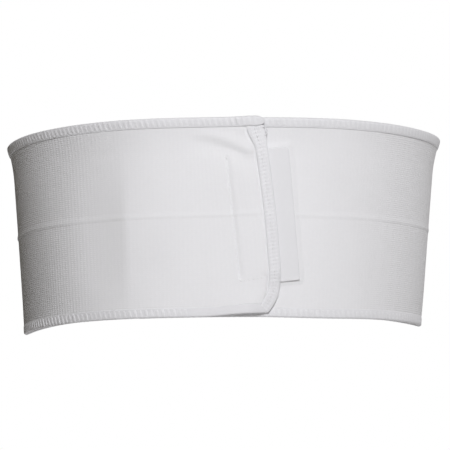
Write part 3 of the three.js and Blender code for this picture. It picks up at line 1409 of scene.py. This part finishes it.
@dataclass
class StrapCloth(Piece):
    """The ribbed elastic strip itself."""

    slot: ClassVar[Slot] = Slot.ELASTIC
    path: StrapPath
    tab: HookTab
    # The sheet's height and length, laid flat and slack
    flat_size: Span = (0.152, 0.92)
    # Crosswise ribs, and the mesh that follows them
    end_gap: float = 1.4 * MM
    rib_pitch: float = RIB_PITCH
    rib_depth: float = 0.08 * MM
    rib_samples: int = 3
    flap_samples: int = 6
    inner_rows: int = 10
    inner_share: float = 0.4
    # The rib along the middle line
    middle_level: float = 1.2 * MM
    middle_upper_foot: float = 4.2 * MM
    middle_lower_foot: float = 2.3 * MM
    middle_height: float = 0.6 * MM
    middle_tight_share: float = 0.4
    # The pucker beside the hems, and the slow waves of slack cloth
    hem_pull: float = 0.04 * MM
    hem_pitch: float = STITCH_PITCH
    hem_line: float = 67.2 * MM
    hem_width: float = 1.6 * MM
    pucker: float = 0.35
    slack: float = 0.2 * MM
    slack_wave: float = 31 * MM
    slack_lean: float = 1.7
    slack_rim: Span = (50 * MM, 66 * MM)
    # The cloth round the tab, and the grooves of the seams
    tab_draw: float = 0.95 * MM
    tab_draw_run: float = 4.5 * MM
    tab_swell: float = 0.2 * MM
    tab_swell_run: float = 8.5 * MM
    seam_inset: float = 2.5 * MM
    seam_depth: float = 0.9 * MM
    seam_width: Span = (0.85 * MM, 2.2 * MM)
    seam_corner: Span = (2 * MM, 8 * MM)
    end_seam: float = 9.4 * MM
    end_seam_depth: float = 0.7 * MM
    end_seam_width: float = 1 * MM
    # The flap and its folds
    flap_from: Span = (20 * MM, 35 * MM)
    fold_above: float = 2.4
    fold_below: float = 2.2
    fold_rim: Span = (60 * MM, 68 * MM)
    # How the weave is pulled, which also sets how much painted shade its gaps take
    slack_side: Span = SLACK_SIDE
    tight_relief: float = 0.09
    slack_relief: float = 1.28
    slack_upper_share: float = 0.78
    slack_middle: float = 25 * MM
    slack_columns: float = 0.3
    slack_columns_side: Span = (104 * MM, 156 * MM)
    right_relief: float = 0.55
    right_columns: float = 0.1
    # The rows of the mesh
    bands: tuple[RowBand, ...] = (
        RowBand(-66, 1.8),
        RowBand(-52.5, 3.4),
        RowBand(-45.5, 0.9),
        RowBand(-2.4, 4.4),
        RowBand(5.4, 0.6),
        RowBand(46.5, 4.4),
        RowBand(53.5, 0.9),
        RowBand(66, 2.5),
        RowBand(75, 1.8),
    )
    folds: tuple[Fold, ...] = (
        Fold(
            1.6,
            6.5,
            (
                FoldPoint(-34, 60),
                FoldPoint(-8, 55.6),
                FoldPoint(6, 50.2),
                FoldPoint(17, 44.8),
                FoldPoint(24, 44),
            ),
        ),
        Fold(0.45, 1.6, (FoldPoint(26, -44), FoldPoint(35, -48.5))),
    )

    @property
    def stands_for(self) -> tuple[str, ...]:
        """The strip's CAD node."""
        return ("belt_wall",)

    def heights(self) -> Array:
        """Heights of the outer face's rows, from the bands.

        Returns:
            The heights, from the lower rim up.
        """
        levels = [-self.path.loop.half_height]
        for band in self.bands:
            end = band.upto * MM
            count = max(1, round((end - levels[-1]) / (band.step * MM)))
            levels += np.linspace(levels[-1], end, count + 1)[1:].tolist()
        return np.array(levels)

    def folded(self, from_front: Array, across: Array) -> Array:
        """How far the flap's soft folds stand out: sunk below their foot, and raised above it.

        Args:
            from_front: Lengths round from the middle of the front, on the flap.
            across: Heights above the middle line.

        Returns:
            The height at each place.
        """
        raised = np.zeros_like(from_front)
        for fold in self.folds:
            foot = np.array(fold.foot) * MM
            run = fold.run * MM
            up = across - np.interp(from_front, foot[:, 0], foot[:, 1])
            crest = smoothstep(up, 0, run) - 0.5
            crest = crest * (1 - smoothstep(up, run, self.fold_above * run))
            crest = crest * (1 - smoothstep(-up, 0, self.fold_below * run))
            fade_in = smoothstep(from_front, foot[0, 0], foot[0, 0] + (foot[-1, 0] - foot[0, 0]) / 2)
            fade_out = 1 - smoothstep(from_front, foot[-1, 0] - run, foot[-1, 0] + run)
            raised += fold.height * MM * crest * fade_in * fade_out
        return raised * (1 - smoothstep(across, *self.fold_rim))

    def flap_relief(self, along: Array, across: Array) -> Array:
        """How far the flap's outer face stands out over the tab, and is drawn in at its seams.

        Args:
            along: Places along the strap.
            across: Heights above its middle line.

        Returns:
            The height of the relief at each place, none before the flap.
        """
        girth = self.path.loop.girth
        from_front = self.path.from_front(along, across) - girth
        inside = -self.tab.outside(from_front, across)
        swell = self.tab_swell * smoothstep(inside, 0, self.tab_swell_run)
        past_seam = self.tab.beside(from_front, across) - self.seam_inset
        to_corner = self.tab.half_height - np.abs(across - self.tab.level_at(from_front))
        seam = self.seam_depth * smoothstep(to_corner, *self.seam_corner)
        seam = seam * bell(past_seam, np.where(past_seam < 0, *self.seam_width))
        to_end_seam = self.path.length - along - self.end_seam * self.path.end_widening(across)
        end_seam = self.end_seam_depth * bell(to_end_seam, self.end_seam_width)
        on_flap = smoothstep(along - girth, *self.flap_from)
        return on_flap * (swell - seam - end_seam + self.folded(from_front, across))

    def relief(self, along: Array, across: Array) -> Array:
        """How far the outer face stands out from a plain wall.

        Args:
            along: Places along the strap.
            across: Heights above its middle line.

        Returns:
            The height of the relief at each place.
        """
        pucker = 1 - self.pucker + self.pucker * np.cos(2 * math.pi * along / self.hem_pitch)
        hem = self.hem_pull * pucker * bell(np.abs(across) - self.hem_line, self.hem_width)
        lean = self.slack_lean * across / self.path.loop.half_height
        slack = self.slack * np.sin(along / self.slack_wave + lean)
        slack = slack * (1 - smoothstep(np.abs(across), *self.slack_rim))
        to_tab = self.tab.apart(self.path.from_front(along, across), across)
        drawn = self.tab_draw * (1 - smoothstep(to_tab, 0, self.tab_draw_run))
        return slack - hem + drawn + self.flap_relief(along, across)

    def pulls(self, x: Array, across: Array) -> Array:
        """How the weave is pulled: nearly smooth in front, open at the flanks, in rows at their ends.

        Args:
            x: Places to the right of the middle.
            across: Heights above the middle line.

        Returns:
            For each place the share of the weave's relief, which also scales the painted shade in the weave's
            gaps, and the share of columns in it.
        """
        left = smoothstep(-x, *self.slack_side)
        far_left = smoothstep(-x, *self.slack_columns_side)
        right = smoothstep(x, *self.slack_side)
        upper = smoothstep(across, -self.slack_middle, self.slack_middle)
        slack = self.slack_relief * (1 - (1 - self.slack_upper_share) * upper)
        relief = self.tight_relief + slack * left + self.right_relief * right
        columns = 1 - (1 - self.slack_columns) * far_left - (1 - self.right_columns) * right
        return np.stack([relief, columns, np.zeros_like(x)], -1)

    def columns(self) -> tuple[Array, float]:
        """Places of the mesh's columns along the strap, closer together on the flap.

        Returns:
            The places, and the pitch of the ribs that they follow.
        """
        end = self.path.length - self.end_gap
        ribs = round(end / self.rib_pitch)
        plain = round(self.path.loop.girth / self.rib_pitch)
        before = np.arange(plain * self.rib_samples) / self.rib_samples
        flap = plain + np.arange((ribs - plain) * self.flap_samples + 1) / self.flap_samples
        return np.concatenate([before, flap]) * end / ribs, end / ribs

    def build(self, finish: bpy.types.Material) -> bpy.types.Object:
        """Makes the strip as a closed wall and raises its ribs.

        Args:
            finish: Its material.

        Returns:
            The strip.
        """
        columns, rib_pitch = self.columns()
        outer_rows = self.heights()
        keep = np.unique(np.linspace(0, len(outer_rows) - 1, self.inner_rows).round().astype(int))
        along, across = np.meshgrid(columns, outer_rows, indexing="ij")
        outer = self.path.place(along, across, self.path.wall + self.relief(along, across))
        inner = self.path.place(along[:, keep], across[:, keep], 0.0)
        ring = np.concatenate([outer, inner[:, ::-1]], axis=1)
        share = np.concatenate([np.ones_like(along), np.full(inner.shape[:2], self.inner_share)], axis=1)
        flat = np.concatenate([across, across[:, keep][:, ::-1]], axis=1)
        cloth = np.stack([np.broadcast_to(columns[:, None], flat.shape), flat, share], -1)
        layers = {"cloth": cloth.reshape(-1, 3), "pull": self.pulls(ring[..., 0], flat).reshape(-1, 3)}
        strap = make_object("strap_cloth", ring.reshape(-1, 3), tube_faces(*ring.shape[:2]), layers)
        grow(
            strap,
            relief_tree(),
            {
                "Rib Pitch": rib_pitch,
                "Rib Depth": self.rib_depth,
                "Middle Rib Level": self.middle_level,
                "Middle Rib Upper Foot": self.middle_upper_foot,
                "Middle Rib Lower Foot": self.middle_lower_foot,
                "Middle Rib Height": self.middle_height,
                "Middle Rib Tight Share": self.middle_tight_share,
                "Finish": finish,
            },
        )
        return strap


# The sewn edges' padding and stitches
RIM_PADDING = (
    SkinPoint(1.7, -6.75),
    SkinPoint(1.87, -6.35),
    SkinPoint(1.95, -5.8),
    SkinPoint(2.02, -4.6),
    SkinPoint(2.06, -3.2),
    SkinPoint(2.07, -0.7),
    SkinPoint(1.88, 0.38),
    SkinPoint(1.2, 0.88),
    SkinPoint(0.3, 0.85),
    SkinPoint(-0.32, 0.25),
    SkinPoint(-0.45, -1.5),
    SkinPoint(-0.45, -6.6),
    SkinPoint(-0.12, -6.9),
    SkinPoint(-0.12, 0.2),
    SkinPoint(1.7, 0.2),
    SkinPoint(1.65, -6.0),
)
END_PADDING = (
    SkinPoint(1.95, -9.2),
    SkinPoint(2.25, -8.9),
    SkinPoint(2.5, -7.8),
    SkinPoint(2.55, -6.6),
    SkinPoint(2.28, -5.4),
    SkinPoint(2.28, -4.6),
    SkinPoint(2.55, -3.6),
    SkinPoint(2.6, -2.2),
    SkinPoint(2.54, -0.6),
    SkinPoint(2.3, -0.08),
    SkinPoint(1.6, 0.05),
    SkinPoint(0.85, -0.05),
    SkinPoint(0.6, -0.5),
    SkinPoint(0.6, -1.1),
    SkinPoint(1.9, -1.1),
    SkinPoint(1.9, -9.2),
)
RIM_WRAP = (
    YarnPoint(0.0, 1.25, -6.6, 0.8, 0.12),
    YarnPoint(-0.12, 1.7, -6.1, 1.3, 0.19),
    YarnPoint(-0.4, 1.84, -4.9, 1.65, 0.28),
    YarnPoint(-0.75, 1.89, -3.3, 1.75, 0.28),
    YarnPoint(-1.15, 1.9, -0.9, 1.75, 0.28),
    YarnPoint(-1.45, 1.68, 0.18, 1.7, 0.3),
    YarnPoint(-1.6, 1.1, 0.7, 1.6, 0.3),
    YarnPoint(-1.5, 0.3, 0.66, 1.55, 0.3),
    YarnPoint(-1.4, -0.16, 0.05, 1.45, 0.3),
    YarnPoint(-1.0, -0.28, -2.4, 1.4, 0.3),
    YarnPoint(-0.5, -0.28, -5.4, 1.2, 0.28),
    YarnPoint(0.0, -0.2, -6.7, 0.6, 0.12),
)
END_WRAP = (
    YarnPoint(0.0, 1.85, -8.95, 0.5, 0.15),
    YarnPoint(-0.05, 2.15, -8.4, 1.1, 0.28),
    YarnPoint(-0.2, 2.34, -7.2, 1.25, 0.3),
    YarnPoint(-0.32, 2.22, -6.0, 1.25, 0.3),
    YarnPoint(-0.45, 2.08, -5.0, 1.2, 0.28),
    YarnPoint(-0.58, 2.26, -4.0, 1.25, 0.3),
    YarnPoint(-0.7, 2.38, -2.6, 1.25, 0.3),
    YarnPoint(-0.85, 2.28, -0.6, 1.25, 0.28),
    YarnPoint(-0.9, 1.6, -0.22, 1.1, 0.26),
    YarnPoint(-0.85, 0.9, -0.3, 0.5, 0.15),
)
END_CHAIN = (
    YarnPoint(-1.5, 2.08, -5.2, 0.4, 0.22),
    YarnPoint(-0.85, 2.26, -5.12, 0.5, 0.24),
    YarnPoint(0.0, 2.34, -5.0, 0.54, 0.26),
    YarnPoint(0.85, 2.26, -4.88, 0.5, 0.24),
    YarnPoint(1.5, 2.08, -4.8, 0.4, 0.22),
)
TAB_STITCH = (
    YarnPoint(-1.1, -0.5, 0.0, 0.2, 0.15),
    YarnPoint(-0.9, 0.0, 0.0, 0.3, 0.24),
    YarnPoint(0.0, 0.12, 0.0, 0.34, 0.26),
    YarnPoint(0.9, 0.0, 0.0, 0.3, 0.24),
    YarnPoint(1.1, -0.5, 0.0, 0.2, 0.15),
)
TAIL = (
    TailPoint(27.6, 67.2, 2.4),
    TailPoint(29.2, 67.6, 3.3),
    TailPoint(30.8, 66.6, 3.2),
    TailPoint(31.6, 64.9, 2.7),
    TailPoint(31.2, 63.0, 2.6),
    TailPoint(30.2, 61.6, 2.9),
    TailPoint(29.2, 60.8, 2.6),
)


@dataclass(frozen=True)
class EdgeLine:
    """Places along a sewn edge: heights, points, axes, and lengths from the edge's start."""

    across: Array
    rim: Array
    run: Array
    inwards: Array
    over: Array
    lengths: Array

    @property
    def left(self) -> Array:
        """Length from each place to the edge's end."""
        return self.lengths[-1] - self.lengths

    def at(self, places: Array) -> "EdgeLine":
        """The line at places between its own, given by their numbers."""
        return EdgeLine(*(between(places, getattr(self, part.name)) for part in fields(self)))


@dataclass
class OverlockEdge(Piece):
    """One edge of the strap: padding over the rim, wrapped in slanting yarn."""

    slot: ClassVar[Slot] = Slot.THREAD
    path: StrapPath
    edge: Edge
    seed: int
    # The padding and the stitches
    padding: tuple[SkinPoint, ...] = RIM_PADDING
    wrap: tuple[YarnPoint, ...] = RIM_WRAP
    chain: tuple[YarnPoint, ...] = ()
    pitch: float = STITCH_PITCH
    size_spread: float = 0.012
    # The rounded ends, with rings at these half stitches from each
    round_start: float = 3 * MM
    round_end: float = 3 * MM
    end_rings: tuple[float, ...] = (0, 0.08, 0.2, 0.4, 0.7, 1, 1.5, 2, 2.5)
    blunt: float = 0.3 * MM
    bare_stitches: int = 0
    # How the edge arches and thickens near its end and at the flanks
    arch: float = 0.0
    arch_run: float = 11 * MM
    cover: float = 0.0
    cover_at: float = 7 * MM
    cover_run: float = 26 * MM
    flank_rise: float = 0.0
    flank_side: Span = (95 * MM, 140 * MM)
    # How deep the yarn lies in the padding
    sink: float = 0.22 * MM
    sunk_run: float = 0.0
    sunk_share: float = 0.4
    sunk_fade: float = 1 * MM
    slack_rise: float = 0.0
    slack_side: Span = SLACK_SIDE
    # How the edge sinks in towards its end
    end_sink: float = 0.0
    end_sink_run: float = 34 * MM
    # The loose end of thread
    tail: tuple[TailPoint, ...] = ()
    tail_radius: float = 0.33 * MM
    tail_sides: int = 8
    tail_rings: int = 32

    @property
    def stands_for(self) -> tuple[str, ...]:
        """The edge's CAD node."""
        return (self.edge.value,)

    def line(self) -> EdgeLine:
        """The line that the edge is sewn along, arched and sunk towards its end.

        Returns:
            Places half a stitch apart.
        """
        across, rim, inside = self.path.edge_line(self.edge, self.pitch / 2)
        run, inwards, over = edge_axes(rim, inside)
        lengths = run_lengths(rim)
        left = lengths[-1] - lengths
        arched = self.arch * bell(left - self.cover_at, self.arch_run)
        sunk = self.end_sink * (1 - smoothstep(left, 0, self.end_sink_run))
        rim = rim + over * arched[:, None] + inwards * sunk[:, None]
        return EdgeLine(across, rim, run, inwards, over, lengths)

    def fullness(self, line: EdgeLine) -> Array:
        """Share of the padding's full size at each place: it rounds off towards its ends.

        Args:
            line: The places.

        Returns:
            The share at each.
        """
        full = np.ones_like(line.lengths)
        for to_end, rounding in ((line.lengths, self.round_start), (line.left, self.round_end)):
            if rounding:
                near_end = np.clip((to_end + self.blunt) / rounding, 0, 1)
                full = np.minimum(full, np.sqrt(1 - (1 - near_end) ** 2))
        return full

    def raised(self, line: EdgeLine) -> Array:
        """How much farther the padding stands out at each place: near its end and at the flanks.

        Args:
            line: The places.

        Returns:
            The distance at each.
        """
        covering = self.cover * bell(line.left - self.cover_at, self.cover_run)
        return covering + self.flank_rise * smoothstep(np.abs(line.rim[:, 0]), *self.flank_side)

    def deeper(self, line: EdgeLine) -> Array:
        """How many times deeper the edge reaches into the cloth at each place.

        Args:
            line: The places.

        Returns:
            The number for each.
        """
        if self.edge is Edge.FLAP_END:
            return self.path.end_widening(line.across)
        return np.ones_like(line.across)

    def padding_rings(self, line: EdgeLine) -> Array:
        """The padding's rings of points, closer together at its rounded ends.

        Args:
            line: Places half a stitch apart.

        Returns:
            The rings.
        """
        ends = np.array(self.end_rings)
        count = len(line.lengths)
        whole = np.arange(math.ceil(ends[-1]), count - math.ceil(ends[-1]))
        fine = line.at(np.concatenate([ends, whole, count - 1 - ends[::-1]]))
        skin = np.array(self.padding) * MM
        middle = skin.mean(axis=0)
        outer = skin[:, 0] > self.path.wall
        full = self.fullness(fine)
        section = middle + full[:, None, None] * (skin - middle)
        section[..., 0] += outer * (self.raised(fine) * full)[:, None]
        section[..., 1] *= self.deeper(fine)[:, None]
        outwards = fine.inwards[:, None] * -section[..., :1]
        return fine.rim[:, None] + outwards + fine.over[:, None] * section[..., 1:]

    def seats(self, line: EdgeLine) -> bpy.types.Object:
        """The stitches' seats, sunk into the padding or raised with it.

        Args:
            line: Places half a stitch apart.

        Returns:
            A helper object.
        """
        skin = np.array(self.padding)[:, 0] * MM
        fading = smoothstep(line.lengths, self.sunk_share * self.sunk_run, self.sunk_run + self.sunk_fade)
        sunk = self.sink * (1 - fading) - self.raised(line)
        sunk -= self.slack_rise * smoothstep(-line.rim[:, 0], *self.slack_side)
        sunk += (1 - self.fullness(line)) * (skin.max() - skin.mean())
        sewn = slice(1, -1 - 2 * self.bare_stitches, 2)
        return seat_object(
            f"{self.edge.value}_seats",
            (line.rim + line.inwards * sunk[:, None])[sewn],
            (line.run[sewn], line.inwards[sewn], line.over[sewn]),
            self.deeper(line)[sewn],
        )

    def tail_tube(self) -> tuple[Array, Array]:
        """The loose end of thread at the edge's start.

        Returns:
            Rings of points, and for each point the length along the yarn and the turn round it.
        """
        table = np.array(self.tail) * MM
        share = np.linspace(0, len(table) - 1, self.tail_rings)
        even = np.arange(len(table), dtype=float)
        across = smooth_table(share, even, table[:, 1])
        along = self.path.along(smooth_table(share, even, table[:, 0]), across)
        middle = self.path.place(along, across, smooth_table(share, even, table[:, 2]))
        run = unit(np.gradient(middle, axis=0))
        beside = unit(np.cross(run, np.array(BACK))) * self.tail_radius
        return tube_rings(middle, beside, np.cross(run, beside), share * MM, self.tail_sides)

    def build(self, finish: bpy.types.Material) -> bpy.types.Object:
        """Makes the padding and sews the yarn over it.

        Args:
            finish: The yarn's material.

        Returns:
            The edge.
        """
        line = self.line()
        rings = self.padding_rings(line)
        points = rings.reshape(-1, 3)
        faces = tube_faces(*rings.shape[:2])
        yarn = np.zeros_like(points)
        if self.tail:
            loose, twist = self.tail_tube()
            faces += tube_faces(*loose.shape[:2], first=len(points))
            points = np.concatenate([points, loose.reshape(-1, 3)])
            yarn = np.concatenate([yarn, twist.reshape(-1, 3)])
        made = make_object(f"{self.edge.value}_overlock", points, faces, {"yarn": yarn})
        strands = [(self.wrap, ALONG)]
        if self.chain:
            strands.append((self.chain, OVER))
        sew(made, self.seats(line), strands, self.size_spread, self.seed, finish)
        return made


def sewn_edges(path: StrapPath) -> list[OverlockEdge]:
    """The belt's four edges, in order.

    Args:
        path: How the strip runs.

    Returns:
        Each edge with its own sizes.
    """
    top = OverlockEdge(
        path,
        Edge.TOP,
        seed=0,
        arch=0.9 * MM,
        cover=0.35 * MM,
        round_end=7 * MM,
        bare_stitches=1,
        slack_rise=0.03 * MM,
        flank_rise=0.4 * MM,
    )
    bottom = OverlockEdge(path, Edge.BOTTOM, seed=1, slack_rise=0.1 * MM, sunk_run=75 * MM)
    flap_end = OverlockEdge(
        path,
        Edge.FLAP_END,
        seed=2,
        padding=END_PADDING,
        wrap=END_WRAP,
        chain=END_CHAIN,
        pitch=2.9 * MM,
        round_start=0.0,
        end_sink=0.6 * MM,
        tail=TAIL,
    )
    return [top, bottom, flap_end, OverlockEdge(path, Edge.INNER_END, seed=3)]


@dataclass
class TabSeam(Piece):
    """The lockstitch that holds the tab, seen on the flap's outer face. It replaces no CAD node."""

    slot: ClassVar[Slot] = Slot.THREAD
    cloth: StrapCloth
    stitch: tuple[YarnPoint, ...] = TAB_STITCH
    pitch: float = 3 * MM
    sink: float = 0.14 * MM
    offset: float = 0.5 * MM
    legs: tuple[SeamLeg, ...] = (
        SeamLeg(0, 47.4, 0, -47.4),
        SeamLeg(1, -48.9, 20, -48.9),
    )
    size_spread: float = 0.05
    seed: int = 7

    def on_flap(self, flat: Array) -> Array:
        """Points on the flap's outer face.

        Args:
            flat: Lengths from the middle of the front, and heights.

        Returns:
            One point in space for each.
        """
        along = self.cloth.path.along(flat[:, 0], flat[:, 1])
        face = self.cloth.path.wall + self.cloth.relief(along, flat[:, 1]) - self.sink
        return self.cloth.path.place(along, flat[:, 1], face)

    def build(self, finish: bpy.types.Material) -> bpy.types.Object:
        """Sews the tab's seam.

        Args:
            finish: The thread's material.

        Returns:
            The stitches.
        """
        tab = self.cloth.tab
        places: list[Array] = []
        axes: list[Axes] = []
        for leg in self.legs:
            start, end = np.array(leg).reshape(2, 2) * MM
            count = round(float(np.linalg.norm(end - start)) / self.pitch) + 1
            flat = start + np.linspace(0, 1, count)[:, None] * (end - start)
            flat[:, 0] += tab.start + self.cloth.seam_inset - tab.slant * flat[:, 1]
            flat[:, 1] += tab.level_at(flat[:, 0])
            run = unit(np.gradient(flat, axis=0))
            outer = flat + self.offset * np.stack([run[:, 1], -run[:, 0]], -1)
            places.append(self.on_flap(flat))
            axes.append(edge_axes(places[-1], self.on_flap(outer)))
        made = make_object("tab_seam_stitches", np.zeros((0, 3)), [])
        joined = tuple(np.concatenate(parts) for parts in zip(*axes))
        seats = seat_object("tab_seam_seats", np.concatenate(places), joined)
        sew(made, seats, [(self.stitch, OVER)], self.size_spread, self.seed, finish)
        return made


# The studio
@dataclass
class Studio:
    """A pale floor, a white surround, soft lights and the camera."""

    # The camera
    eye: Axis = (1.4 * MM, -2120 * MM, -118 * MM)
    aim: Axis = (1.4 * MM, -120 * MM, -6 * MM)
    roll: float = 0.295
    lens: float = 210.3
    sensor: float = 36
    # The floor
    floor_level: float = -0.7
    floor_radius: float = 2.2
    floor_thickness: float = 0.02
    floor_sides: int = 96
    floor_colour: Colour = (0.86, 0.86, 0.86, 1)
    floor_roughness: float = 0.9
    # The light
    surround: Colour = (1.0, 1.0, 1.0, 1)
    glow: Colour = (1.0, 0.78, 0.35, 1)
    glow_strength: float = 0.04
    lamp_colour: Axis = (1.0, 1.0, 1.03)
    lamps: tuple[Lamp, ...] = (
        Lamp("front light", (0.19, -1.9, 1.05), 0.5, 37.6),
        Lamp("low light", (0.7, -1.9, -0.5), 0.6, 2.3),
        Lamp("right light", (1.1, 0.51, 0.2), 0.6, 4.5),
        Lamp("back light", (0.0, 0.95, 0.5), 0.6, 4.0),
    )

    def camera(self) -> None:
        """Sets the camera at the photograph's angle."""
        data = bpy.data.cameras.new("camera")
        data.lens = self.lens
        data.sensor_width = self.sensor
        camera = bpy.data.objects.new("camera", data)
        turn = (Vector(self.aim) - Vector(self.eye)).to_track_quat("-Z", "Y").to_matrix()
        turn = turn @ Matrix.Rotation(math.radians(self.roll), 3, "Z")
        camera.matrix_world = Matrix.Translation(Vector(self.eye)) @ turn.to_4x4()
        bpy.context.scene.collection.objects.link(camera)
        bpy.context.scene.camera = camera

    def floor(self) -> None:
        """Lays a pale round floor well below the belt."""
        turns = np.linspace(0, 2 * math.pi, self.floor_sides, endpoint=False)
        ring = np.stack([np.cos(turns), np.sin(turns), np.zeros_like(turns)], -1) * self.floor_radius
        points = np.concatenate([ring, ring])
        points[:, 2] += self.floor_level
        points[len(ring):, 2] -= self.floor_thickness
        floor = make_object("floor", points, tube_faces(2, len(ring)))
        for face in floor.data.polygons:
            face.use_smooth = False
        material, _, shader = new_material("pale floor")
        shader.inputs["Base Color"].default_value = self.floor_colour
        shader.inputs["Roughness"].default_value = self.floor_roughness
        floor.data.materials.append(material)

    def hang(self, lamp: Lamp) -> None:
        """Hangs one soft light, aimed at the belt.

        Args:
            lamp: The light.
        """
        data = bpy.data.lights.new(lamp.name, "AREA")
        data.size = lamp.side
        data.energy = lamp.power
        data.color = self.lamp_colour
        hung = bpy.data.objects.new(lamp.name, data)
        hung.location = lamp.place
        hung.rotation_euler = (-Vector(lamp.place)).to_track_quat("-Z", "Y").to_euler()
        hung.visible_camera = False
        bpy.context.scene.collection.objects.link(hung)

    def light(self) -> None:
        """Sets a white surround, which only the camera sees, a faint glow and the lights."""
        world = bpy.data.worlds.new("white surround")
        bpy.context.scene.world = world
        world.use_nodes = True
        sketch = NodeSketch(world.node_tree)
        shown = sketch.add("ShaderNodeBackground", {"Color": self.surround, "Strength": 1.0})
        glow = sketch.add("ShaderNodeBackground", {"Color": self.glow, "Strength": self.glow_strength})
        seen = sketch.add("ShaderNodeLightPath").outputs["Is Camera Ray"]
        mixed = sketch.add("ShaderNodeMixShader", {0: seen, 1: glow.outputs[0], 2: shown.outputs[0]})
        sketch.put(world.node_tree.nodes["World Output"].inputs["Surface"], mixed.outputs[0])
        for lamp in self.lamps:
            self.hang(lamp)
        bpy.context.scene.view_settings.view_transform = "Standard"

    def set_up(self) -> None:
        """Sets the camera, the floor and the light."""
        self.camera()
        self.floor()
        self.light()


# The whole belt
def triangles(made: bpy.types.Object) -> int:
    """Counts the triangles of a piece.

    Args:
        made: The piece.

    Returns:
        Their number.
    """
    made.data.calc_loop_triangles()
    return len(made.data.loop_triangles)


def main() -> None:
    """Builds the belt's pieces in order, dresses them and reports each."""
    logging.basicConfig(level=logging.INFO, format="%(message)s")
    Studio().set_up()
    finishes = {
        Slot.ELASTIC: ELASTIC.make(),
        Slot.THREAD: ThreadFinish().make(),
        Slot.TAPE: HOOK_TAPE.make(),
    }
    path = StrapPath()
    tab = HookTab(path)
    cloth = StrapCloth(path, tab)
    made: list[bpy.types.Object] = []
    for piece in (tab, cloth, *sewn_edges(path), TabSeam(cloth)):
        made.append(piece.dress(finishes[piece.slot]))
        log.info("%s: %d triangles, stands for %s", made[-1].name, triangles(made[-1]), piece.stands_for)


if __name__ == "__main__":
    main()
